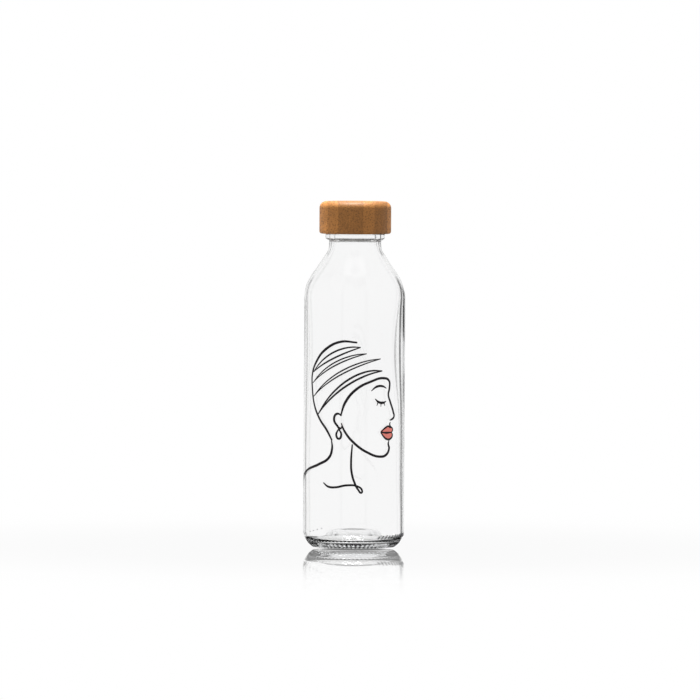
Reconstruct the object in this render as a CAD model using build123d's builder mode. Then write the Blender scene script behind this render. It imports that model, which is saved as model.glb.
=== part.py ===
from build123d import *
import os
from math import radians, tan

# Glass water bottle of nominal 0.7 litre with a bamboo screw cap.
# Millimetres. The bottle stands on Z = 0 and its axis is +Z.

# ---- driving dimensions ----------------------------------------------------
total_height = 252.5        # floor to the top of the closed cap
body_radius = 37.0          # straight glass body
neck_radius = 19.0          # narrowest place of the neck, outside
bore_radius = 15.9          # mouth and neck, inside
body_bore = 34.3            # inside of the lower body
waist_bore = 32.2           # inside at mid height, where the glass is thickest

heel_radius = 15.4          # large round from the body to the base
heel_corner = 4.9           # height at which the body line and the heel's lower flank meet
ring_inner = 26.2           # bearing ring
ring_outer = 29.8
ring_round = 0.9
knurl_count = 60            # notches round the outer edge of the bearing ring
knurl_radius = 0.8
knurl_length = 4.5          # how far each notch runs outward
punt_height = 8.2           # underside of the pushed-up base
punt_flat = 13.0            # half-width of its flat middle
punt_round = 22.0
floor_height = 14.2         # crown of the floor inside
crown_corner = 9.0          # the crown is a shallow dome that falls away in two steps
crown_round = 80.0
flank_radius = 20.0
flank_height = 12.0
flank_round = 12.0
trough_height = 5.2         # lowest place of the floor inside
trough_radius = 28.2
trough_round = 3.0
wall_foot_round = 5.0       # inside round from the floor to the wall

shoulder_low = 190.9        # where the body line meets the shoulder cone
shoulder_angle = 34.0       # cone, from the bottle's axis
shoulder_round = 29.4
neck_round = 13.0
shoulder_bore = 34.4        # inside where the wall turns into the shoulder
shoulder_bore_drop = 0.9    # how far that turn lies under the outside one
shoulder_bore_round = 27.0
neck_bore_drop = 0.4
neck_bore_round = 22.0
waist_height = 144.0
waist_round = 600.0
lower_bore = 34.0
lower_height = 92.0
lower_round = 1200.0

bead_radius = 21.7          # transfer ring under the cap
bead_low = 225.2
bead_high = 228.7
bead_under_slope = 1.5      # height of the slope from the neck out to the bead
bead_over_slope = 0.8       # and from the bead in to the finish
bead_low_round = 1.4
bead_high_round = 1.0
bead_root_round = 0.8
finish_root_round = 0.5
finish_radius = 19.6        # glass under the thread
lip_height = 244.1
lip_round = 1.2

thread_pitch = 4.2          # single start, right hand
thread_crest = 20.75
thread_turns = 1.5
thread_start = 232.9
liner_turns = 1.25
liner_thread_drop = 1.5     # liner thread below the glass thread when tight
thread_root_half = 1.3      # half of a ridge's width at its root and at its crest
thread_crest_half = 0.55
liner_root_half = 1.1
liner_crest_half = 0.35

cap_radius = 26.2
cap_bottom = 228.8
cap_top_round = 5.0
cap_bottom_round = 1.8
pocket_radius = 23.05       # room for the liner, with a glue film
pocket_chamfer = 0.4
pocket_top = 247.65

liner_radius = 23.0
liner_bore = 21.15
liner_thread_crest = 19.95
liner_bottom = 229.8
liner_top = 247.6
liner_ceiling = 246.15
boss_radius = 14.3          # centres the seal ring
boss_depth = 1.6
glue_grooves = (233.8, 239.6)
groove_width = 1.6
groove_depth = 0.4
liner_chamfer = 0.5

seal_inner = 14.6
seal_outer = 20.9
seal_bottom = 244.15
seal_top = 246.1
seal_round = 0.3

thread_embed = 0.3          # how far a thread's root reaches into the wall

# The shoulder cone meets the neck line here.
neck_corner = shoulder_low + (body_radius - neck_radius) / tan(radians(shoulder_angle))

os.makedirs("parts", exist_ok=True)


# ---- glass bottle ----------------------------------------------------------
glass_corners = [
    # corner (radius, height), rounding
    ((0, punt_height), None),
    ((punt_flat, punt_height), punt_round),
    ((ring_inner, 0), ring_round),
    ((ring_outer, 0), ring_round),
    ((body_radius, heel_corner), heel_radius),
    ((body_radius, shoulder_low), shoulder_round),
    ((neck_radius, neck_corner), neck_round),
    ((neck_radius, bead_low - bead_under_slope), bead_root_round),
    ((bead_radius, bead_low), bead_low_round),
    ((bead_radius, bead_high), bead_high_round),
    ((finish_radius, bead_high + bead_over_slope), finish_root_round),
    ((finish_radius, lip_height), lip_round),
    ((bore_radius, lip_height), lip_round),
    ((bore_radius, neck_corner - neck_bore_drop), neck_bore_round),
    ((shoulder_bore, shoulder_low - shoulder_bore_drop), shoulder_bore_round),
    ((waist_bore, waist_height), waist_round),
    ((lower_bore, lower_height), lower_round),
    ((body_bore, trough_height), wall_foot_round),
    ((trough_radius, trough_height), trough_round),
    ((flank_radius, flank_height), flank_round),
    ((crown_corner, floor_height), crown_round),
    ((0, floor_height), None),
]

with BuildPart() as glass_bottle:
    with BuildSketch(Plane.XZ):
        with BuildLine():
            wall = FilletPolyline(
                [corner for corner, _ in glass_corners],
                radius=[rounding for _, rounding in glass_corners if rounding],
            )
            Line(wall @ 1, wall @ 0)
        make_face()
    revolve(axis=Axis.Z)

    # Notches at the outer edge of the bearing ring.
    with BuildPart(mode=Mode.PRIVATE) as notch:
        with BuildSketch(Plane.YZ.offset(ring_outer - knurl_radius)):
            Circle(knurl_radius)
        extrude(amount=knurl_length)
    with PolarLocations(0, knurl_count):
        add(notch.part, mode=Mode.SUBTRACT)

    # External thread, single start.
    with BuildLine():
        thread_path = Helix(
            pitch=thread_pitch,
            height=thread_pitch * thread_turns,
            radius=finish_radius,
            center=(0, 0, thread_start),
        )
    with BuildSketch(Plane(origin=thread_path @ 0, x_dir=(1, 0, 0), z_dir=thread_path % 0)):
        with BuildLine():
            Polyline(
                (-thread_embed, -thread_root_half),
                (thread_crest - finish_radius, -thread_crest_half),
                (thread_crest - finish_radius, thread_crest_half),
                (-thread_embed, thread_root_half),
                close=True,
            )
        make_face()
    sweep(path=thread_path, is_frenet=True)
glass_bottle.part.label = "glass_bottle"
export_step(glass_bottle.part, "parts/glass_bottle.step")


# ---- bamboo shell: turned cup ------------------------------------------------
with BuildPart() as bamboo_shell:
    with BuildSketch(Plane.XY.offset(cap_bottom)):
        Circle(cap_radius)
    extrude(amount=total_height - cap_bottom)
    fillet(bamboo_shell.edges().sort_by(Axis.Z)[-1], radius=cap_top_round)
    fillet(bamboo_shell.edges().sort_by(Axis.Z)[0], radius=cap_bottom_round)
    with BuildSketch(Plane.XY.offset(cap_bottom)):
        Circle(pocket_radius)
    extrude(amount=pocket_top - cap_bottom, mode=Mode.SUBTRACT)
    mouth_edge = bamboo_shell.edges().filter_by(GeomType.CIRCLE).group_by(Axis.Z)[0]
    chamfer(mouth_edge.sort_by(SortBy.RADIUS)[0], length=pocket_chamfer)
bamboo_shell.part.label = "bamboo_shell"
export_step(bamboo_shell.part, "parts/bamboo_shell.step")


# ---- threaded liner: moulded cup glued into the bamboo -----------------------
with BuildPart() as threaded_liner:
    with BuildSketch(Plane.XY.offset(liner_bottom)):
        Circle(liner_radius)
    extrude(amount=liner_top - liner_bottom)
    with BuildSketch(Plane.XY.offset(liner_bottom)):
        Circle(liner_bore)
    extrude(amount=liner_ceiling - liner_bottom, mode=Mode.SUBTRACT)
    with BuildSketch(Plane.XY.offset(liner_ceiling - boss_depth)):
        Circle(boss_radius)
    extrude(amount=boss_depth)
    chamfer(threaded_liner.edges().group_by(Axis.Z)[-1], length=liner_chamfer)

    # Two grooves that hold the glue.
    for groove_height in glue_grooves:
        with BuildSketch(Plane.XY.offset(groove_height)):
            Circle(liner_radius)
            Circle(liner_radius - groove_depth, mode=Mode.SUBTRACT)
        extrude(amount=groove_width, mode=Mode.SUBTRACT)

    # Internal thread, on the same helix as the glass thread and just under it.
    with BuildLine():
        liner_path = Helix(
            pitch=thread_pitch,
            height=thread_pitch * liner_turns,
            radius=liner_bore,
            center=(0, 0, thread_start - liner_thread_drop),
        )
    with BuildSketch(Plane(origin=liner_path @ 0, x_dir=(1, 0, 0), z_dir=liner_path % 0)):
        with BuildLine():
            Polyline(
                (thread_embed, -liner_root_half),
                (liner_thread_crest - liner_bore, -liner_crest_half),
                (liner_thread_crest - liner_bore, liner_crest_half),
                (thread_embed, liner_root_half),
                close=True,
            )
        make_face()
    sweep(path=liner_path, is_frenet=True)
threaded_liner.part.label = "threaded_liner"
export_step(threaded_liner.part, "parts/threaded_liner.step")


# ---- silicone seal ring ------------------------------------------------------
with BuildPart() as seal_ring:
    with BuildSketch(Plane.XY.offset(seal_bottom)):
        Circle(seal_outer)
        Circle(seal_inner, mode=Mode.SUBTRACT)
    extrude(amount=seal_top - seal_bottom)
    fillet(seal_ring.edges(), radius=seal_round)
seal_ring.part.label = "seal_ring"
export_step(seal_ring.part, "parts/seal_ring.step")


# ---- capacity to the brim ------------------------------------------------------
with BuildPart() as contents:
    with BuildSketch(Plane.XY.offset(trough_height - 1)):
        Circle(body_radius - 1)
    extrude(amount=lip_height - trough_height + 1)
    add(glass_bottle.part, mode=Mode.SUBTRACT)
drink = contents.solids().sort_by(SortBy.VOLUME)[-1]
print("holds", round(drink.volume / 1e6, 3), "litres to the brim")
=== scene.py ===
"""Glass water bottle with a printed line drawing and a bamboo screw cap, built round its CAD frame."""

import math

import bmesh
import bpy
from mathutils import Matrix, Vector, noise


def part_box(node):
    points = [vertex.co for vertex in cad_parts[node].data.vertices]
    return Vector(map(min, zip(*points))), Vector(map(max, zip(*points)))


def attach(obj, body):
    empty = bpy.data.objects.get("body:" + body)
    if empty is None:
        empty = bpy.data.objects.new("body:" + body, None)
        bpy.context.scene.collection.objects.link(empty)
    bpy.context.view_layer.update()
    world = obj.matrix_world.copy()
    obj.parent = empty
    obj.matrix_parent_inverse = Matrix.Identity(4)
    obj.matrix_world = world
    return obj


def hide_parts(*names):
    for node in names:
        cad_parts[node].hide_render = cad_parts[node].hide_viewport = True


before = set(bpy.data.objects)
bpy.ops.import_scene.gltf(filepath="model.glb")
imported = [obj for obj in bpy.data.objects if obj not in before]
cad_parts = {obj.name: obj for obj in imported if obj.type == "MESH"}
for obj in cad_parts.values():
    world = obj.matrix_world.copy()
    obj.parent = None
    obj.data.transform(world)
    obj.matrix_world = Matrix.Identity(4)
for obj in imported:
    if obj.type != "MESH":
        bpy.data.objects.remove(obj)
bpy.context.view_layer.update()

bl_info = {
    "name": "Glass Water Bottle",
    "version": (1, 0, 0),
    "blender": (4, 5, 0),
    "location": "3D View > Sidebar > Bottle",
    "description": "Builds a clear glass water bottle with a bamboo screw cap",
    "category": "Add Mesh",
}

MM = 0.001
_, GLASS_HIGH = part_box("glass_bottle")
SHELL_LOW, SHELL_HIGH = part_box("bamboo_shell")
LINER_LOW, LINER_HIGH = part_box("threaded_liner")
SEAL_LOW, SEAL_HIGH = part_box("seal_ring")

ROUND_STEPS = 300           # facets round the glass, five to each knurl tooth
CAP_STEPS = 160
ARC_STEP = math.radians(7.5)

# Glass outline. A corner is where two straight stretches would meet if nothing were rounded.
PUNT_HEIGHT = 8.2 * MM      # pushed-up base
PUNT_FLAT = 13 * MM
PUNT_ROUND = 22 * MM
RING_INNER = 26.2 * MM      # bearing ring
RING_OUTER = 29.8 * MM
RING_ROUND = 0.9 * MM
HEEL_CORNER = 4.9 * MM
HEEL_ROUND = 15.4 * MM
HEEL_TOP = 13.05 * MM       # where the heel's round meets the straight body
HEEL_CENTRE = GLASS_HIGH.x - HEEL_ROUND
SHOULDER = 190.9 * MM       # corner of the body and the shoulder cone
SHOULDER_SLOPE = math.radians(34)       # from the bottle's axis
SHOULDER_ROUND = 29.4 * MM
NECK_ROUND = 13 * MM
NECK_TOP = 223.7 * MM
NECK_TOP_ROUND = 0.8 * MM
BEAD_RADIUS = 21.7 * MM     # transfer ring under the cap
BEAD_LOW = 225.2 * MM
BEAD_LOW_ROUND = 1.4 * MM
BEAD_HIGH = 228.7 * MM
BEAD_HIGH_ROUND = 1.0 * MM
FINISH_RADIUS = 19.6 * MM   # glass under the thread
FINISH_LOW = 229.5 * MM
FINISH_ROUND = 0.5 * MM
LIP_ROUND = 1.2 * MM
NECK_BORE_DROP = 0.4 * MM   # how far each turn inside lies under the one outside
NECK_BORE_ROUND = 22 * MM
SHOULDER_BORE = 34.4 * MM
SHOULDER_BORE_DROP = 0.9 * MM
SHOULDER_BORE_ROUND = 27 * MM
WAIST_HEIGHT = 144 * MM
WAIST_ROUND = 0.6
LOWER_BORE = 34.0 * MM
LOWER_HEIGHT = 92 * MM
LOWER_ROUND = 1.2
WALL_FOOT_ROUND = 5 * MM    # inside round from the floor to the wall
TROUGH_RADIUS = 28.2 * MM   # lowest place of the floor inside
TROUGH_HEIGHT = 5.2 * MM
TROUGH_ROUND = 3 * MM
FLANK_RADIUS = 20 * MM      # the floor's dome rises to its crown in two steps
FLANK_HEIGHT = 12 * MM
FLANK_ROUND = 12 * MM
CROWN_RADIUS = 9 * MM
CROWN_HEIGHT = 14.2 * MM
CROWN_ROUND = 80 * MM

# Threads: the height of the start, turns, how far the ridge stands out, and half of its width
# at its root and at its crest.
THREAD_PITCH = 4.2 * MM
THREAD_FADE = 0.09          # share of a turn in which a ridge rises to its full height
GLASS_THREAD = (232.9 * MM, 1.5, 1.15 * MM, 1.3 * MM, 0.5 * MM)
LINER_THREAD = (231.4 * MM, 1.25, 1.2 * MM, 1.05 * MM, 0.35 * MM)

# The wall is uneven inside the body: from the first height to the last, and fully between the
# other two.
WALL_HEIGHTS = (18 * MM, 50 * MM, 180 * MM, 205 * MM)
WALL_INNER = 24 * MM        # anything nearer to the axis is floor or neck
HUMP_HEIGHT = 146 * MM      # thickest place of the wall
HUMP_SPREAD = 30 * MM
HUMP_SWELL = 0.7 * MM
RIPPLE = 0.2 * MM
THICK_SIDE = 0.2            # radians round from +X

# Knurl under the heel.
KNURL_INNER = 29 * MM
KNURL_FULL = 1.0 * MM       # full depth up to here, none from the next height on
KNURL_TOP = 2.6 * MM
KNURL_DEPTH = 0.75 * MM

MARK_SUNK = 0.25 * MM       # how far a mould mark's middle lies inside the glass

# Cap.
POCKET_RADIUS = 23.05 * MM
GLUE_FILM = 0.05 * MM       # between the liner and the bamboo
SEAL_GAP = 0.05 * MM        # between the seal and the liner's ceiling
LINER_BORE = 21.15 * MM
LINER_EDGE = 0.3 * MM
BOSS_RADIUS = 14.3 * MM     # centres the seal ring
BOSS_DEPTH = 1.6 * MM
SEAL_BORE = 14.6 * MM
SEAL_ROUND = 0.3 * MM

# Strips of the laminated bamboo: where each starts, as a share of the cap's width, and its tone. The
# tones are partly the strips' own and partly painted light: the two outer strips are made lighter as
# painted side sheen.
STRIP_TONES_AND_SHEEN = (
    (0.0, 1.36), (0.118, 0.98), (0.265, 0.71), (0.40, 0.75), (0.607, 0.97), (0.773, 0.77), (0.94, 1.22),
)
SEAM = 0.0032               # half-width of a glue line, as a share of the cap's width

# Print.
STROKE_DEPTH = 0.08         # depth of a stroke as a share of its width
FILL_DEPTH = 0.008 * MM
LIPS_FROM, LIPS_TO = 19, 34         # millimetres along the glass, cut into strips of one each

# Studio.
FLOOR_RADIUS = 0.6
FLOOR_DROP = 1.2 * MM
CLEAR_FROM = 66 * MM        # the glass sees through the floor from here outward
SCREEN_EDGE = 3             # degrees over which a screen fades
# Dark screens: degrees round from behind the bottle, half-width in degrees, brightness.
SCREENS = ((30, 4, 0.10), (-30, 2, 0.40), (150, 1.5, 0.80), (-150, 1.5, 0.80))


# ---- sizes and colours a user would change -----------------------------------

class BottleSettings(bpy.types.PropertyGroup):
    """Sizes of the glass"""

    radius: bpy.props.FloatProperty(
        name="Body radius", description="Outside of the straight body",
        default=GLASS_HIGH.x - 0.12 * MM, unit="LENGTH", precision=5)
    lip_height: bpy.props.FloatProperty(
        name="Lip height", description="Height of the sealing lip above the floor",
        default=GLASS_HIGH.z, unit="LENGTH", precision=5)
    neck_radius: bpy.props.FloatProperty(
        name="Neck radius", description="Outside of the neck at its narrowest",
        default=19.0 * MM, unit="LENGTH", precision=5)
    bore_radius: bpy.props.FloatProperty(
        name="Bore radius", description="Inside of the neck and mouth",
        default=15.9 * MM, unit="LENGTH", precision=5)
    body_bore: bpy.props.FloatProperty(
        name="Body bore", description="Inside of the lower body",
        default=34.3 * MM, unit="LENGTH", precision=5)
    waist_bore: bpy.props.FloatProperty(
        name="Waist bore", description="Inside at mid height, where the glass is thickest",
        default=32.2 * MM, unit="LENGTH", precision=5)
    settle: bpy.props.FloatProperty(
        name="Settle wave", description="How much thicker one side of the wall is than the mean",
        default=0.9 * MM, unit="LENGTH", precision=5)
    teeth: bpy.props.IntProperty(
        name="Knurl teeth", description="Notches round the bearing ring", default=60, min=12)
    tint: bpy.props.FloatVectorProperty(
        name="Glass tint", description="Colour that thick glass takes on",
        default=(0.860, 0.866, 0.872), subtype="COLOR", size=3, min=0.0, max=1.0)
    # Painted shade: the mould marks are clear glass bumps, and this dark grey tint stands in for the
    # darkness their refraction shows.
    marks: bpy.props.FloatVectorProperty(
        name="Mark tint", description="Colour of the raised mould marks",
        default=(0.25, 0.25, 0.28), subtype="COLOR", size=3, min=0.0, max=1.0)


class CapSettings(bpy.types.PropertyGroup):
    """Sizes and colours of the cap"""

    radius: bpy.props.FloatProperty(
        name="Cap radius", description="Outside of the bamboo shell",
        default=SHELL_HIGH.x, unit="LENGTH", precision=5)
    top_round: bpy.props.FloatProperty(
        name="Top rounding", description="Radius of the shell's upper edge",
        default=5.0 * MM, unit="LENGTH", precision=5)
    bottom_round: bpy.props.FloatProperty(
        name="Bottom rounding", description="Radius of the shell's lower edge",
        default=1.8 * MM, unit="LENGTH", precision=5)
    bamboo: bpy.props.FloatVectorProperty(
        name="Bamboo", description="Mean colour of the carbonised bamboo",
        default=(0.290, 0.120, 0.0285), subtype="COLOR", size=3, min=0.0, max=1.0)
    plastic: bpy.props.FloatVectorProperty(
        name="Liner plastic", description="Colour of the moulded liner",
        default=(0.80, 0.78, 0.74), subtype="COLOR", size=3, min=0.0, max=1.0)
    silicone: bpy.props.FloatVectorProperty(
        name="Silicone", description="Colour of the seal ring",
        default=(0.85, 0.86, 0.85), subtype="COLOR", size=3, min=0.0, max=1.0)


class PrintSettings(bpy.types.PropertyGroup):
    """Size and colours of the printed drawing"""

    line: bpy.props.FloatProperty(
        name="Line", description="Width of a full stroke",
        default=1.8 * MM, unit="LENGTH", precision=5)
    ink: bpy.props.FloatVectorProperty(
        name="Ink", description="Colour of the black enamel",
        default=(0.012, 0.010, 0.012), subtype="COLOR", size=3, min=0.0, max=1.0)
    coral: bpy.props.FloatVectorProperty(
        name="Coral", description="Colour of the lips",
        default=(0.78, 0.23, 0.19), subtype="COLOR", size=3, min=0.0, max=1.0)


class StageSettings(bpy.types.PropertyGroup):
    """Camera and light"""

    distance: bpy.props.FloatProperty(
        name="Camera distance", description="From the bottle's axis", default=7.0, unit="LENGTH")
    elevation: bpy.props.FloatProperty(
        name="Elevation", description="Camera above the horizon",
        default=math.radians(2.0), unit="ROTATION")
    roll: bpy.props.FloatProperty(
        name="Roll", description="Camera turned about its line of sight",
        default=math.radians(0.34), unit="ROTATION")
    frame_width: bpy.props.FloatProperty(
        name="Frame width", description="Width seen at the bottle's axis",
        default=0.5113, unit="LENGTH", precision=4)
    softbox: bpy.props.FloatProperty(
        name="Softbox", description="Power of the overhead softbox in watts", default=42.0)


# ---- mesh helpers -------------------------------------------------------------

def rounded(corners, longest):
    """Points along an outline of ((radius, height), rounding) corners, all in metres.

    Roundings become arcs, and straight stretches are cut to at most longest(height)."""
    places = [Vector(place) for place, _ in corners]
    path = [places[0]]
    for before, here, after, (_, radius) in zip(places, places[1:], places[2:], corners[1:-1]):
        into, out = (here - before).normalized(), (after - here).normalized()
        turn = into.angle_signed(out)
        if not radius or abs(turn) < 1e-6:
            path.append(here)
            continue
        setback = radius * math.tan(abs(turn) / 2)
        start = here - into * setback
        side = Vector((-into.y, into.x)) * (-1 if turn > 0 else 1)
        centre = start + side * radius
        long = radius * abs(turn) / longest(here.y)
        count = max(2, math.ceil(abs(turn) / ARC_STEP), math.ceil(long))
        for step in range(count + 1):
            path.append(centre + Matrix.Rotation(-turn * step / count, 2) @ (start - centre))
    path.append(places[-1])

    points = [path[0]]
    for here in path[1:]:
        before = points[-1]
        cuts = max(1, math.ceil((here - before).length / longest((here.y + before.y) / 2)))
        points += [before.lerp(here, step / cuts) for step in range(1, cuts + 1)]
    return points


def lathe(outline, steps, closed=False):
    """A bmesh turned about Z from an outline of (radius, height) points."""
    turned = bmesh.new()
    ring = [turned.verts.new((point.x, 0, point.y)) for point in outline]
    edges = [turned.edges.new(pair) for pair in zip(ring, ring[1:])]
    if closed:
        edges.append(turned.edges.new((ring[-1], ring[0])))
    bmesh.ops.spin(
        turned, geom=ring + edges, axis=(0, 0, 1), cent=(0, 0, 0),
        steps=steps, angle=math.tau, use_merge=True)
    bmesh.ops.remove_doubles(turned, verts=turned.verts, dist=1e-6)
    bmesh.ops.recalc_face_normals(turned, faces=turned.faces)
    return turned


def finish_piece(shape, name, body, material):
    """Turns a bmesh into an object that rides on a body."""
    mesh = bpy.data.meshes.new(name)
    shape.to_mesh(mesh)
    shape.free()
    mesh.shade_smooth()
    piece = bpy.data.objects.new(name, mesh)
    bpy.context.scene.collection.objects.link(piece)
    mesh.materials.append(material)
    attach(piece, body)
    return piece


def smoothstep(low, high, value):
    """0 below low, 1 above high, smooth between."""
    share = min(1.0, max(0.0, (value - low) / (high - low)))
    return share * share * (3 - 2 * share)


def thread_height(angle, height, thread):
    """How far a thread stands out at an angle and height."""
    start, turns, full, half_root, half_crest = thread
    stands = 0.0
    around = (angle % math.tau) / math.tau
    for lap in range(math.ceil(turns) + 1):
        along = around + lap
        if along > turns:
            break
        off = abs(height - start - THREAD_PITCH * along)
        ridge = 1 - smoothstep(half_crest, half_root, off)
        rise = smoothstep(0, THREAD_FADE, along)
        fade = rise * (1 - smoothstep(turns - THREAD_FADE, turns, along))
        stands = max(stands, ridge * fade)
    return full * stands


# ---- material helpers -----------------------------------------------------------

def new_material(name):
    """A material with its node tree, Principled shader and object coordinates."""
    material = bpy.data.materials.new(name)
    material.use_nodes = True
    tree = material.node_tree
    shader = tree.nodes["Principled BSDF"]
    place = tree.nodes.new("ShaderNodeTexCoord").outputs["Object"]
    return material, tree, shader, place


def add(tree, kind, values=None, **settings):
    """A node of one kind, with its settings, and its sockets set or linked."""
    made = tree.nodes.new("ShaderNode" + kind)
    for key, value in settings.items():
        setattr(made, key, value)
    for key, value in (values or {}).items():
        if isinstance(value, bpy.types.NodeSocket):
            tree.links.new(value, made.inputs[key])
        else:
            made.inputs[key].default_value = value
    return made


def stretched(tree, place, scale):
    """Coordinates scaled along each axis."""
    return add(tree, "Mapping", {"Vector": place, "Scale": scale}).outputs["Vector"]


def noise_of(tree, place, scale, detail=3.0, roughness=0.5):
    """A noise value between 0 and 1, scale in cells a metre."""
    values = {"Vector": place, "Scale": scale, "Detail": detail, "Roughness": roughness}
    return add(tree, "TexNoise", values).outputs["Fac"]


def ramp(tree, value, stops, interpolation="LINEAR"):
    """A colour ramp with stops of (position, colour or grey)."""
    made = add(tree, "ValToRGB", {"Fac": value})
    made.color_ramp.interpolation = interpolation
    elements = made.color_ramp.elements
    while len(elements) < len(stops):
        elements.new(0.5)
    for element, (position, shade) in zip(elements, stops):
        element.position = position
        grey = isinstance(shade, (int, float))
        element.color = (shade, shade, shade, 1) if grey else (*shade, 1)
    return made.outputs["Color"]


def mixed(tree, factor, first, second, blend="MIX"):
    """Two colours mixed by a factor."""
    made = tree.nodes.new("ShaderNodeMix")
    made.data_type = "RGBA"
    made.blend_type = blend
    for index, value in ((0, factor), (6, first), (7, second)):
        if isinstance(value, bpy.types.NodeSocket):
            tree.links.new(value, made.inputs[index])
        elif index:
            made.inputs[index].default_value = (*value, 1)
        else:
            made.inputs[index].default_value = value
    return made.outputs[2]


def math_of(tree, operation, first, second=0.0):
    """The value of one Math node."""
    return add(tree, "Math", {0: first, 1: second}, operation=operation).outputs[0]


def bumped(tree, shader, height, strength, distance):
    """Gives a shader a bump from a height value."""
    values = {"Height": height, "Strength": strength, "Distance": distance}
    tree.links.new(add(tree, "Bump", values).outputs["Normal"], shader.inputs["Normal"])


# ---- materials -------------------------------------------------------------------

def glass_material(name, tint, density):
    """Clear soda-lime glass with faint draw waves and a tint that shows in its thickness."""
    material, tree, shader, place = new_material(name)
    shader.inputs["Base Color"].default_value = (1, 1, 1, 1)
    shader.inputs["Roughness"].default_value = 0.0
    shader.inputs["IOR"].default_value = 1.5
    shader.inputs["Transmission Weight"].default_value = 1.0
    waves = noise_of(tree, stretched(tree, place, (1, 1, 0.35)), 70, detail=1.5)
    bumped(tree, shader, waves, 0.12, 0.25 * MM)
    body = add(tree, "VolumeAbsorption", {"Color": (*tint, 1), "Density": density})
    tree.links.new(body.outputs["Volume"], tree.nodes["Material Output"].inputs["Volume"])
    return material


def bamboo_material(colour, half_width):
    """Carbonised bamboo: upright glued strips side by side along X, fibres along Y."""
    material, tree, shader, place = new_material("bamboo")
    wander = noise_of(tree, place, 120, detail=2)
    axes = add(tree, "SeparateXYZ", {"Vector": place})
    wobble = math_of(tree, "MULTIPLY", math_of(tree, "SUBTRACT", wander, 0.5), 0.9 * MM)
    sideways = math_of(tree, "ADD", axes.outputs["X"], wobble)
    share = math_of(tree, "DIVIDE", math_of(tree, "ADD", sideways, half_width), 2 * half_width)

    # Each strip has its own tone, and the two outer strips also carry painted side sheen. Tones are
    # divided by the lightest one that a ramp can hold.
    lightest = 1.5
    shades = [(start, min(1.0, tone / lightest)) for start, tone in STRIP_TONES_AND_SHEEN]
    strip_tones_and_sheen = ramp(tree, share, shades, "CONSTANT")
    base = mixed(tree, 1.0, tuple(channel * lightest for channel in colour), strip_tones_and_sheen, "MULTIPLY")

    # Within a strip the shade drifts, and long fibres run along Y.
    drift = noise_of(tree, stretched(tree, place, (1, 0.25, 0.6)), 55, detail=3)
    base = mixed(tree, 1.0, base, ramp(tree, drift, [(0.25, 0.80), (0.75, 1.18)]), "MULTIPLY")
    fibres = noise_of(tree, stretched(tree, place, (1, 0.03, 1)), 1500, detail=4, roughness=0.65)
    base = mixed(tree, 1.0, base, ramp(tree, fibres, [(0.30, 0.66), (0.70, 1.26)]), "MULTIPLY")

    # Vessel bundles: small dark dots on the end grain, fine dashes on the flat.
    bundle_place = stretched(tree, place, (1, 0.045, 1))
    bundles = add(tree, "TexVoronoi", {"Vector": bundle_place, "Scale": 820.0, "Randomness": 1.0})
    dots = ramp(tree, bundles.outputs["Distance"], [(0.22, 1.0), (0.44, 0.0)])
    dark = tuple(channel * 0.34 for channel in colour)
    base = mixed(tree, math_of(tree, "MULTIPLY", dots, 0.72), base, dark)
    light = noise_of(tree, stretched(tree, place, (1, 0.04, 1)), 2300, detail=2)
    flecks = math_of(tree, "MULTIPLY", ramp(tree, light, [(0.62, 0.0), (0.74, 1.0)]), 0.45)
    base = mixed(tree, flecks, base, tuple(min(1.0, channel * 1.9) for channel in colour))

    # A thin dark glue line at each joint.
    seams = None
    for start, _ in STRIP_TONES_AND_SHEEN[1:]:
        near = math_of(tree, "ABSOLUTE", math_of(tree, "SUBTRACT", share, start))
        seam = math_of(tree, "LESS_THAN", near, SEAM)
        seams = seam if seams is None else math_of(tree, "MAXIMUM", seams, seam)
    base = mixed(tree, math_of(tree, "MULTIPLY", seams, 0.35), base, dark)
    tree.links.new(base, shader.inputs["Base Color"])

    gloss = ramp(tree, fibres, [(0.2, 0.62), (0.8, 0.42)])
    tree.links.new(gloss, shader.inputs["Roughness"])
    shader.inputs["Specular IOR Level"].default_value = 0.2
    relief = math_of(tree, "SUBTRACT", fibres, math_of(tree, "MULTIPLY", dots, 0.8))
    bumped(tree, shader, relief, 0.55, 0.06 * MM)
    return material


def moulded_material(name, colour, roughness, clear):
    """Moulded plastic or silicone, slightly cloudy, with a fine spark-eroded texture."""
    material, tree, shader, place = new_material(name)
    cloud = noise_of(tree, place, 180, detail=2)
    shade = tuple(channel * 0.9 for channel in colour)
    tree.links.new(mixed(tree, cloud, colour, shade), shader.inputs["Base Color"])
    grain = noise_of(tree, place, 4200, detail=2)
    rough = ramp(tree, grain, [(0.3, roughness - 0.08), (0.7, roughness + 0.08)])
    tree.links.new(rough, shader.inputs["Roughness"])
    shader.inputs["Subsurface Weight"].default_value = clear
    shader.inputs["Subsurface Radius"].default_value = (2 * MM, 2 * MM, 2 * MM)
    shader.inputs["Subsurface Scale"].default_value = 1.0
    bumped(tree, shader, grain, 0.3, 0.02 * MM)
    return material


def enamel_material(name, colour):
    """Fired enamel ink: dense, satin, with the fine mesh print of its screen."""
    material, tree, shader, place = new_material(name)
    patches = noise_of(tree, place, 420, detail=3)
    deep = tuple(channel * 0.72 for channel in colour)
    tree.links.new(mixed(tree, patches, deep, colour), shader.inputs["Base Color"])
    screen = noise_of(tree, place, 5200, detail=1)
    tree.links.new(ramp(tree, screen, [(0.3, 0.38), (0.7, 0.55)]), shader.inputs["Roughness"])
    shader.inputs["Specular IOR Level"].default_value = 0.12
    bumped(tree, shader, screen, 0.25, 0.01 * MM)
    return material


# ---- operators ---------------------------------------------------------------------

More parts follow.
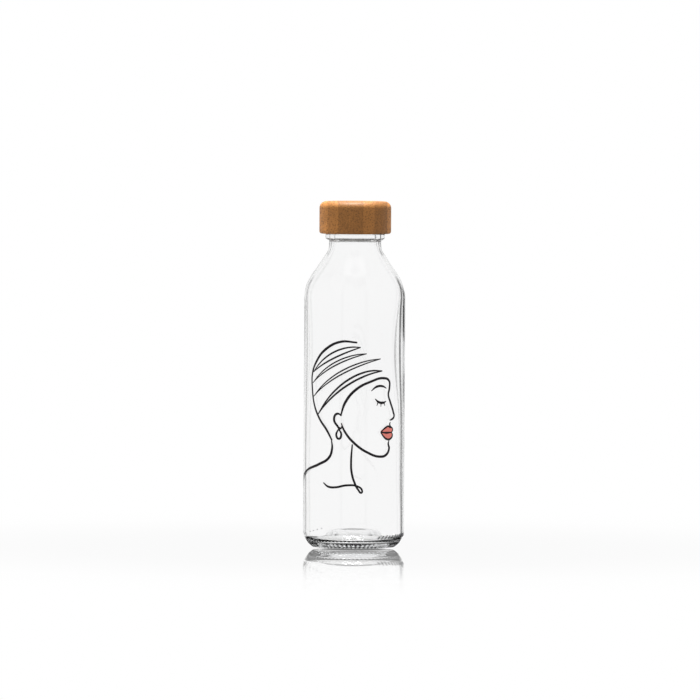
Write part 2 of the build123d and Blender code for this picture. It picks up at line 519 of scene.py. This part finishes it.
class BOTTLE_OT_build_glass(bpy.types.Operator):
    """Turn the glass bottle with its thread, bead, settle wave and knurled base"""

    bl_idname = "bottle.build_glass"
    bl_label = "Build Glass Bottle"

    def execute(self, context):
        sizes = context.scene.bottle_sizes
        glass = glass_material("clear_glass", sizes.tint, 20.0)
        radius, lip, neck, bore = sizes.radius, sizes.lip_height, sizes.neck_radius, sizes.bore_radius
        neck_corner = SHOULDER + (radius - neck) / math.tan(SHOULDER_SLOPE)
        corners = [
            ((0, PUNT_HEIGHT), None),
            ((PUNT_FLAT, PUNT_HEIGHT), PUNT_ROUND),
            ((RING_INNER, 0), RING_ROUND),
            ((RING_OUTER, 0), RING_ROUND),
            ((radius, HEEL_CORNER), HEEL_ROUND),
            ((radius, SHOULDER), SHOULDER_ROUND),
            ((neck, neck_corner), NECK_ROUND),
            ((neck, NECK_TOP), NECK_TOP_ROUND),
            ((BEAD_RADIUS, BEAD_LOW), BEAD_LOW_ROUND),
            ((BEAD_RADIUS, BEAD_HIGH), BEAD_HIGH_ROUND),
            ((FINISH_RADIUS, FINISH_LOW), FINISH_ROUND),
            ((FINISH_RADIUS, lip), LIP_ROUND),
            ((bore, lip), LIP_ROUND),
            ((bore, neck_corner - NECK_BORE_DROP), NECK_BORE_ROUND),
            ((SHOULDER_BORE, SHOULDER - SHOULDER_BORE_DROP), SHOULDER_BORE_ROUND),
            ((sizes.waist_bore, WAIST_HEIGHT), WAIST_ROUND),
            ((LOWER_BORE, LOWER_HEIGHT), LOWER_ROUND),
            ((sizes.body_bore, TROUGH_HEIGHT), WALL_FOOT_ROUND),
            ((TROUGH_RADIUS, TROUGH_HEIGHT), TROUGH_ROUND),
            ((FLANK_RADIUS, FLANK_HEIGHT), FLANK_ROUND),
            ((CROWN_RADIUS, CROWN_HEIGHT), CROWN_ROUND),
            ((0, CROWN_HEIGHT), None),
        ]

        def longest(height):
            return 0.36 * MM if height > FINISH_LOW else 4.5 * MM

        shape = lathe(rounded(corners, longest), ROUND_STEPS)
        for vert in shape.verts:
            self.shape_vertex(vert.co, sizes)
        piece = finish_piece(shape, "glass_body", "bottle", glass)
        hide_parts("glass_bottle")
        # The heel marks get dark grey glass as painted shade, in place of the darkness that refraction
        # gives clear bumps.
        self.heel_marks(glass_material("mark_glass_painted_dark", sizes.marks, 3000.0))
        return {"FINISHED"}

    def shape_vertex(self, place, sizes):
        """Thread, uneven wall and knurl, as moves of one vertex of the turned bottle."""
        reach = math.hypot(place.x, place.y)
        if reach < 1e-6:
            return
        angle = math.atan2(place.y, place.x)
        low, high = WALL_HEIGHTS[0], WALL_HEIGHTS[-1]
        inside = WALL_INNER < reach < sizes.radius - 0.5 * MM
        grow = 0.0
        if place.z > FINISH_LOW and reach > FINISH_RADIUS - 0.05 * MM:
            grow = thread_height(angle, place.z, GLASS_THREAD)
        elif low < place.z < high and inside:
            grow = -self.unevenness(place, angle, sizes.settle)
        place.x *= (reach + grow) / reach
        place.y *= (reach + grow) / reach
        if reach > KNURL_INNER and place.z < KNURL_TOP:
            wave = 0.5 + 0.5 * math.cos(angle * sizes.teeth)
            fade = smoothstep(KNURL_INNER, RING_OUTER, reach)
            fade *= 1 - smoothstep(KNURL_FULL, KNURL_TOP, place.z)
            place.z += KNURL_DEPTH * wave * fade

    def unevenness(self, place, angle, settle):
        """How much thicker the wall is at a place inside it than the plain outline has it."""
        start, full, fading, end = WALL_HEIGHTS
        ends = smoothstep(start, full, place.z) * (1 - smoothstep(fading, end, place.z))
        hump = math.exp(-((place.z - HUMP_HEIGHT) / HUMP_SPREAD) ** 2)
        lean = math.cos(angle - THICK_SIDE)
        ripple = noise.noise(Vector((place.x * 22, place.y * 22, place.z * 12)))
        return ends * (settle * lean * (0.45 + 0.6 * hump) + HUMP_SWELL * hump + RIPPLE * ripple)

    def heel_marks(self, glass):
        """Small raised mould marks on the heel: a few dots and a run of slanting ticks, in dark glass
        as painted shade.
        """
        marks = bmesh.new()

        def mark(degrees, height, wide, deep, long, slant):
            """One mark: millimetres high and long, degrees round from the front and aslant."""
            made = bmesh.ops.create_uvsphere(marks, u_segments=10, v_segments=6, radius=1.0)
            rise = math.asin(max(0.0, (HEEL_TOP - height * MM) / HEEL_ROUND))
            reach = HEEL_CENTRE + HEEL_ROUND * math.cos(rise) - MARK_SUNK
            size = Matrix.Diagonal((wide * MM, deep * MM, long * MM, 1))
            turn = Matrix.Rotation(math.radians(degrees), 4, "Z")
            tilt = Matrix.Rotation(math.radians(slant), 4, "Y")
            lean = Matrix.Rotation(rise * 0.9, 4, "X") @ tilt
            put = turn @ Matrix.Translation((0, -reach, height * MM)) @ lean @ size
            bmesh.ops.transform(marks, matrix=put, verts=made["verts"])

        for step in range(4):
            mark(-59 + 6.6 * step, 12.0 + 0.9 * step, 0.45, 0.45, 0.45, 0)
        for step in range(11):
            mark(31 + 5 * step, 8.2 + 0.11 * step, 0.4, 0.85, 1.7 + 0.25 * (step % 3), 34)
        finish_piece(marks, "heel_marks", "bottle", glass)


class BOTTLE_OT_build_cap(bpy.types.Operator):
    """Turn the bamboo shell of the cap"""

    bl_idname = "bottle.build_cap"
    bl_label = "Build Bamboo Shell"

    def execute(self, context):
        cap = context.scene.bottle_cap
        low, high = SHELL_LOW.z, SHELL_HIGH.z
        ceiling = LINER_HIGH.z + GLUE_FILM
        corners = [
            ((0, high), None),
            ((cap.radius, high), cap.top_round),
            ((cap.radius, low), cap.bottom_round),
            ((POCKET_RADIUS, low), 0.4 * MM),
            ((POCKET_RADIUS, ceiling), 0.3 * MM),
            ((0, ceiling), None),
        ]
        shape = lathe(rounded(corners, lambda height: 2 * MM), CAP_STEPS)
        bamboo = bamboo_material(cap.bamboo, cap.radius)
        piece = finish_piece(shape, "bamboo_cup", "cap", bamboo)
        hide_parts("bamboo_shell")
        return {"FINISHED"}


class BOTTLE_OT_build_liner(bpy.types.Operator):
    """Turn the threaded liner inside the cap"""

    bl_idname = "bottle.build_liner"
    bl_label = "Build Threaded Liner"

    def execute(self, context):
        low, high, outside = LINER_LOW.z, LINER_HIGH.z, LINER_HIGH.x
        ceiling = SEAL_HIGH.z + SEAL_GAP
        boss_low = ceiling - BOSS_DEPTH
        corners = [
            ((0, high), None),
            ((outside, high), 0.5 * MM),
            ((outside, low), LINER_EDGE),
            ((LINER_BORE, low), LINER_EDGE),
            ((LINER_BORE, ceiling), LINER_EDGE),
            ((BOSS_RADIUS, ceiling), 0.2 * MM),
            ((BOSS_RADIUS, boss_low), 0.4 * MM),
            ((0, boss_low), None),
        ]
        shape = lathe(rounded(corners, lambda height: 0.35 * MM), CAP_STEPS)
        for vert in shape.verts:
            reach = math.hypot(vert.co.x, vert.co.y)
            if abs(reach - LINER_BORE) < 0.02 * MM:
                angle = math.atan2(vert.co.y, vert.co.x)
                stands = thread_height(angle, vert.co.z, LINER_THREAD)
                vert.co.x *= 1 - stands / reach
                vert.co.y *= 1 - stands / reach
        plastic = moulded_material("liner_plastic", context.scene.bottle_cap.plastic, 0.42, 0.15)
        piece = finish_piece(shape, "screw_liner", "cap", plastic)
        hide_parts("threaded_liner")
        return {"FINISHED"}


class BOTTLE_OT_build_seal(bpy.types.Operator):
    """Turn the silicone seal ring"""

    bl_idname = "bottle.build_seal"
    bl_label = "Build Seal Ring"

    def execute(self, context):
        low, high, outside = SEAL_LOW.z, SEAL_HIGH.z, SEAL_HIGH.x
        middle = (SEAL_BORE + outside) / 2
        corners = [
            ((middle, high), None),
            ((outside, high), SEAL_ROUND),
            ((outside, low), SEAL_ROUND),
            ((SEAL_BORE, low), SEAL_ROUND),
            ((SEAL_BORE, high), SEAL_ROUND),
            ((middle - 0.5 * MM, high), None),
        ]
        shape = lathe(rounded(corners, lambda height: 1 * MM), CAP_STEPS, closed=True)
        silicone = moulded_material("silicone", context.scene.bottle_cap.silicone, 0.5, 0.3)
        piece = finish_piece(shape, "seal_washer", "seal", silicone)
        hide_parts("seal_ring")
        return {"FINISHED"}


def fold(start, tip, bow, weight, steps=6):
    """One bowed stroke of the head wrap, lightest at its two ends."""
    stroke = []
    for step in range(steps + 1):
        share = step / steps
        swell = 4 * share * (1 - share)
        along = start[0] + (tip[0] - start[0]) * share
        height = start[1] + (tip[1] - start[1]) * share + bow * swell
        stroke.append((along, height, weight * (0.6 + 0.4 * swell)))
    return stroke


# Folds of the head wrap: left end, tip, bow of the upper and of the lower stroke, weight.
FOLDS = (
    ((-34.5, 128.5), (4.5, 147.0), 5.8, 1.4, 0.75),
    ((-35.2, 120.5), (9.0, 142.4), 5.2, 2.8, 0.62),
    ((-34.4, 110.5), (20.0, 138.6), 6.4, 3.9, 0.62),
    ((-29.5, 97.5), (21.5, 129.8), 10.0, 6.4, 0.85),
)

# Strokes of the drawing: (along the glass from its front, height, weight) in millimetres.
HEADWRAP = [
    [(2, 150.5, 0.7), (-10, 151, 1), (-22, 145.5, 1.1), (-31, 136.5, 1.1), (-36, 127, 1),
     (-36, 117, 1), (-33.5, 105, 1), (-28, 95, 1), (-21, 86.5, 1), (-16.5, 79, 0.7)],
    *(fold(start, tip, upper, weight) for start, tip, upper, _, weight in FOLDS),
    *(fold(start, tip, lower, weight) for start, tip, _, lower, weight in FOLDS),
]
PROFILE = [
    [(-10, 97, 0.6), (-6.5, 107, 1.1), (1.5, 116.5, 1.1), (12, 122, 1), (23, 124.5, 1),
     (27.8, 122.5, 1), (28.2, 117, 1), (27.2, 112.5, 0.9), (29.2, 107, 1), (32.6, 99.5, 1.1),
     (33.4, 96.4, 1), (31.0, 94.4, 0.9), (28.6, 93.8, 0.4)],
    [(29.4, 92.6, 0.4), (28.8, 90.6, 0.8), (30.2, 88.6, 0.5)],
    [(28.2, 79.2, 0.4), (27.4, 76.8, 0.9), (28.2, 73.2, 1.1), (25.6, 68.8, 1.1), (20, 67.4, 1),
     (10, 70.5, 1), (0, 77.5, 1), (-7, 86, 0.9), (-9.5, 92, 0.4)],
    [(15.5, 109.6, 0.3), (18.5, 107.2, 1), (22, 106.6, 1.1), (25, 107.6, 0.4)],
    [(18.0, 107.0, 0.6), (17.0, 104.4, 0.2)],
    [(20.6, 106.4, 0.6), (20.4, 103.6, 0.2)],
    [(23.2, 106.6, 0.6), (24.0, 104.2, 0.2)],
    [(12.5, 115.2, 0.3), (17, 118.4, 1), (22, 118.6, 0.9), (25.4, 117.0, 0.3)],
    [(-9, 97.5, 0.5), (-13, 98.5, 1), (-15, 94.5, 1), (-12.6, 90, 0.9), (-10, 88, 0.9),
     (-8.6, 90, 0.5)],
    [(-11.4, 87.6, 0.6), (-13.2, 83, 0.9), (-11.2, 80.4, 0.9), (-9.4, 83, 0.9),
     (-11.2, 87.6, 0.6)],
]
SHOULDERS = [
    [(-1.2, 76.5, 0.6), (-2, 65, 0.85), (-1.6, 56, 0.9), (0.6, 48.4, 0.9), (3.4, 43.2, 0.8),
     (5.6, 41.2, 0.8), (6.0, 43.2, 0.8), (2.4, 46.0, 0.8), (-5, 46.6, 0.9), (-14, 45.0, 0.9),
     (-19.5, 45.4, 0.9), (-23.8, 48.2, 0.5)],
    [(-17, 80, 0.5), (-16.5, 73, 1), (-19, 66.5, 1.1), (-28, 61.5, 1.1), (-42, 57, 1),
     (-54, 51, 1), (-60, 42, 0.5)],
]
LIP_LINES = [
    [(20.4, 85.2, 0.5), (24.5, 88.3, 0.9), (27.6, 89.4, 0.8), (29.0, 88.5, 0.7),
     (30.4, 88.6, 0.7), (31.9, 86.8, 0.7), (30.8, 84.9, 0.5)],
    [(20.4, 85.2, 0.5), (25.5, 84.7, 1), (30.8, 84.9, 0.6)],
    [(30.8, 84.9, 0.5), (31.6, 82.6, 0.8), (29.4, 80.2, 0.9), (26.0, 80.0, 0.9),
     (22.8, 82.2, 0.8), (20.4, 85.2, 0.5)],
]
UPPER_LIP = [
    (20.4, 85.2), (24.5, 88.3), (27.6, 89.4), (29.0, 88.5), (30.4, 88.6), (31.9, 86.8),
    (30.8, 84.9), (25.5, 84.7),
]
LOWER_LIP = [
    (20.4, 85.2), (25.5, 84.7), (30.8, 84.9), (31.6, 82.6), (29.4, 80.2), (26.0, 80.0),
    (22.8, 82.2),
]


def wrapped(mesh, radius, flatten):
    """Bends a drawing that lies in XY round the bottle, its front at -Y and its depth flattened."""
    for vert in mesh.vertices:
        around = vert.co.x / radius
        reach = radius + vert.co.z * flatten
        vert.co = (reach * math.sin(around), -reach * math.cos(around), vert.co.y)


def curve_mesh(name, setup):
    """The mesh of a curve that setup(curve) draws, with its object removed again."""
    curve = bpy.data.curves.new(name, "CURVE")
    setup(curve)
    holder = bpy.data.objects.new(name + "_curve", curve)
    bpy.context.scene.collection.objects.link(holder)
    bpy.context.view_layer.update()
    graph = bpy.context.evaluated_depsgraph_get()
    mesh = bpy.data.meshes.new_from_object(holder.evaluated_get(graph))
    bpy.data.objects.remove(holder)
    bpy.data.curves.remove(curve)
    mesh.name = name
    return mesh


def smooth_spline(curve, points, cyclic=False):
    """A Bezier spline through points, with automatic handles."""
    spline = curve.splines.new("BEZIER")
    spline.bezier_points.add(len(points) - 1)
    for knot, point in zip(spline.bezier_points, points):
        knot.co = (point[0] * MM, point[1] * MM, 0)
        knot.handle_left_type = knot.handle_right_type = "AUTO"
        knot.radius = point[2] if len(point) > 2 else 1.0
    spline.use_cyclic_u = cyclic
    spline.resolution_u = 10


class BOTTLE_OT_build_print(bpy.types.Operator):
    """Draw the enamel print and wrap it round the glass"""

    bl_idname = "bottle.build_print"
    bl_label = "Build Print"

    def execute(self, context):
        look = context.scene.bottle_print
        radius = context.scene.bottle_sizes.radius
        ink = enamel_material("print_black", look.ink)
        coral = enamel_material("print_coral", look.coral)
        strokes = {"print_headwrap": HEADWRAP, "print_profile": PROFILE,
                   "print_shoulders": SHOULDERS, "print_lip_lines": LIP_LINES}
        for name, lines in strokes.items():
            width = look.line * (0.95 if lines is LIP_LINES else 1)
            self.ink_lines(name, lines, width, radius, ink)
        for name, outline in (("print_upper_lip", UPPER_LIP), ("print_lower_lip", LOWER_LIP)):
            self.filled(name, outline, radius, coral)
        return {"FINISHED"}

    def ink_lines(self, name, lines, width, radius, ink):
        """Strokes of changing weight, as flattened tubes."""
        def draw(curve):
            curve.dimensions = "3D"
            curve.bevel_depth = width / 2
            curve.bevel_resolution = 2
            curve.use_fill_caps = True
            for line in lines:
                smooth_spline(curve, line)

        mesh = curve_mesh(name, draw)
        wrapped(mesh, radius, STROKE_DEPTH)
        self.place(mesh, name, ink, "print_black")

    def filled(self, name, outline, radius, coral):
        """A filled shape, cut into narrow strips so that it can bend."""
        def draw(curve):
            curve.dimensions = "2D"
            curve.fill_mode = "BOTH"
            curve.extrude = FILL_DEPTH
            smooth_spline(curve, outline, cyclic=True)

        mesh = curve_mesh(name, draw)
        shape = bmesh.new()
        shape.from_mesh(mesh)
        bmesh.ops.remove_doubles(shape, verts=shape.verts, dist=1e-7)
        for step in range(LIPS_FROM, LIPS_TO):
            geometry = shape.verts[:] + shape.edges[:] + shape.faces[:]
            cut = (step * MM, 0, 0)
            bmesh.ops.bisect_plane(shape, geom=geometry, plane_co=cut, plane_no=(1, 0, 0))
        bmesh.ops.recalc_face_normals(shape, faces=shape.faces)
        shape.to_mesh(mesh)
        shape.free()
        wrapped(mesh, radius, 1.0)
        self.place(mesh, name, coral, "print_coral")

    def place(self, mesh, name, material, slot_name):
        """Makes the printed mesh an object that rides on the bottle."""
        mesh.materials.clear()
        mesh.materials.append(material)
        mesh.shade_smooth()
        piece = bpy.data.objects.new(name, mesh)
        bpy.context.scene.collection.objects.link(piece)
        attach(piece, "bottle")


class BOTTLE_OT_build_stage(bpy.types.Operator):
    """Lay the floor, light the studio and place the camera"""

    bl_idname = "bottle.build_stage"
    bl_label = "Build Stage"

    def execute(self, context):
        stage = context.scene.bottle_stage
        self.floor()
        self.studio(context)
        self.softbox(stage)
        self.camera(context, stage)
        return {"FINISHED"}

    def floor(self):
        """A white floor that mirrors the bottle's foot and fades to plain white.

        The glass alone sees a painted shadow on it, a dark ring round the foot, and sees through it
        further out."""
        disc = bmesh.new()
        bmesh.ops.create_circle(disc, cap_ends=True, segments=96, radius=FLOOR_RADIUS)
        bmesh.ops.translate(disc, verts=disc.verts, vec=(0, 0, -FLOOR_DROP))
        mesh = bpy.data.meshes.new("floor")
        disc.to_mesh(mesh)
        disc.free()
        floor = bpy.data.objects.new("floor", mesh)
        bpy.context.scene.collection.objects.link(floor)

        material, tree, shader, place = new_material("white_floor")
        tree.nodes.remove(shader)
        away = add(tree, "VectorMath", {0: place}, operation="LENGTH").outputs["Value"]
        straight = add(tree, "LightPath").outputs["Is Camera Ray"]
        near = math_of(tree, "DIVIDE", away, 200 * MM)
        # Painted shadow: for rays from the glass the floor is dark from 30 to 50 mm off the axis, then
        # fades back to bright by 66 mm.
        painted_foot_shadow = ramp(tree, near, [(0.14, 0.95), (0.15, 0.02), (0.25, 0.02), (0.33, 0.95)])
        glow = add(tree, "Emission", {"Strength": math_of(tree, "MAXIMUM", painted_foot_shadow, straight)})
        mirror = add(tree, "BsdfGlossy", {"Color": (1, 1, 1, 1), "Roughness": 0.015})
        far = math_of(tree, "DIVIDE", away, FLOOR_RADIUS)
        fade = ramp(tree, far, [(0.07, 0.85), (0.35, 0.70), (0.68, 0.12), (0.93, 0)])
        share = math_of(tree, "MULTIPLY", fade, straight)
        white = add(tree, "MixShader", {0: share, 1: glow.outputs[0], 2: mirror.outputs[0]})
        outer = math_of(tree, "GREATER_THAN", away, CLEAR_FROM)
        clear = math_of(tree, "MULTIPLY", outer, math_of(tree, "SUBTRACT", 1.0, straight))
        through = add(tree, "BsdfTransparent")
        blend = add(tree, "MixShader", {0: clear, 1: white.outputs[0], 2: through.outputs[0]})
        tree.links.new(blend.outputs[0], tree.nodes["Material Output"].inputs["Surface"])
        mesh.materials.append(material)

    def studio(self, context):
        """A white studio with a bright ceiling and slim dark screens that only the glass sees."""
        world = bpy.data.worlds.new("studio")
        context.scene.world = world
        world.use_nodes = True
        tree = world.node_tree
        background = tree.nodes["Background"]
        direction = add(tree, "TexCoord").outputs["Generated"]
        axes = add(tree, "SeparateXYZ", {"Vector": direction})
        walls = ramp(tree, axes.outputs["Z"], [(0.0, 0.945), (0.55, 0.93), (0.86, 0.93), (0.95, 1.7)])
        around = math_of(tree, "ARCTAN2", axes.outputs["X"], axes.outputs["Y"])
        screens = None
        for centre, half_width, brightness in SCREENS:
            off = math_of(tree, "SUBTRACT", around, math.radians(centre))
            aside = math_of(tree, "ABSOLUTE", off)
            edge, clear = math.radians(half_width), math.radians(half_width + SCREEN_EDGE)
            screen = self.eased(tree, aside, edge, clear, brightness, 1.0)
            screens = screen if screens is None else math_of(tree, "MULTIPLY", screens, screen)
        above = self.eased(tree, axes.outputs["Z"], 0.12, 0.30, 0.0, 1.0)
        below = self.eased(tree, axes.outputs["Z"], -0.75, -0.55, 1.0, 0.0)
        screens = math_of(tree, "MAXIMUM", screens, math_of(tree, "MAXIMUM", above, below))
        seen = mixed(tree, 1.0, walls, screens, "MULTIPLY")
        straight = add(tree, "LightPath").outputs["Is Camera Ray"]
        tree.links.new(mixed(tree, straight, seen, (1, 1, 1)), background.inputs["Color"])

    def eased(self, tree, value, low, high, first, last):
        """A value that goes smoothly from first at low to last at high."""
        values = {"Value": value, "From Min": low, "From Max": high, "To Min": first, "To Max": last}
        return add(tree, "MapRange", values, interpolation_type="SMOOTHSTEP").outputs["Result"]

    def softbox(self, stage):
        """One wide soft light overhead."""
        lamp = bpy.data.lights.new("softbox", "AREA")
        lamp.shape = "DISK"
        lamp.size = 0.6
        lamp.energy = stage.softbox
        box = bpy.data.objects.new("softbox", lamp)
        box.location = (-0.05, 0.1, 1.25)
        box.rotation_euler = (math.radians(-5), math.radians(-3), 0)
        bpy.context.scene.collection.objects.link(box)

    def camera(self, context, stage):
        """A long lens a little above the floor, looking at the front of the bottle."""
        lens = bpy.data.cameras.new("camera")
        lens.sensor_width = 36.0
        lens.lens = lens.sensor_width * stage.distance / stage.frame_width
        lens.clip_end = 100
        eye = bpy.data.objects.new("camera", lens)
        middle = Vector((-3.3 * MM, 0, 143.8 * MM))
        back = Vector((0, -math.cos(stage.elevation), math.sin(stage.elevation)))
        eye.location = middle + back * stage.distance
        aim = (-back).to_track_quat("-Z", "Y").to_matrix() @ Matrix.Rotation(stage.roll, 3, "Z")
        eye.rotation_euler = aim.to_euler()
        context.scene.collection.objects.link(eye)
        context.scene.camera = eye
        context.scene.view_settings.view_transform = "Standard"


class BOTTLE_PT_sidebar(bpy.types.Panel):
    """Lists the bottle's sizes and build steps"""

    bl_idname = "BOTTLE_PT_sidebar"
    bl_label = "Glass Water Bottle"
    bl_space_type = "VIEW_3D"
    bl_region_type = "UI"
    bl_category = "Bottle"

    def draw(self, context):
        for group in GROUPS:
            settings = getattr(context.scene, group)
            for name in settings.__annotations__:
                self.layout.prop(settings, name)
        for step in STEPS:
            self.layout.operator(step.bl_idname)


GROUPS = {
    "bottle_sizes": BottleSettings,
    "bottle_cap": CapSettings,
    "bottle_print": PrintSettings,
    "bottle_stage": StageSettings,
}
STEPS = (
    BOTTLE_OT_build_glass,
    BOTTLE_OT_build_cap,
    BOTTLE_OT_build_liner,
    BOTTLE_OT_build_seal,
    BOTTLE_OT_build_print,
    BOTTLE_OT_build_stage,
)


def register():
    for made in (*GROUPS.values(), *STEPS, BOTTLE_PT_sidebar):
        bpy.utils.register_class(made)
    for name, group in GROUPS.items():
        setattr(bpy.types.Scene, name, bpy.props.PointerProperty(type=group))


def unregister():
    for name in GROUPS:
        delattr(bpy.types.Scene, name)
    for made in reversed((*GROUPS.values(), *STEPS, BOTTLE_PT_sidebar)):
        bpy.utils.unregister_class(made)


def main():
    register()
    for step in STEPS:
        group, name = step.bl_idname.split(".")
        getattr(getattr(bpy.ops, group), name)()


if __name__ == "__main__":
    main()
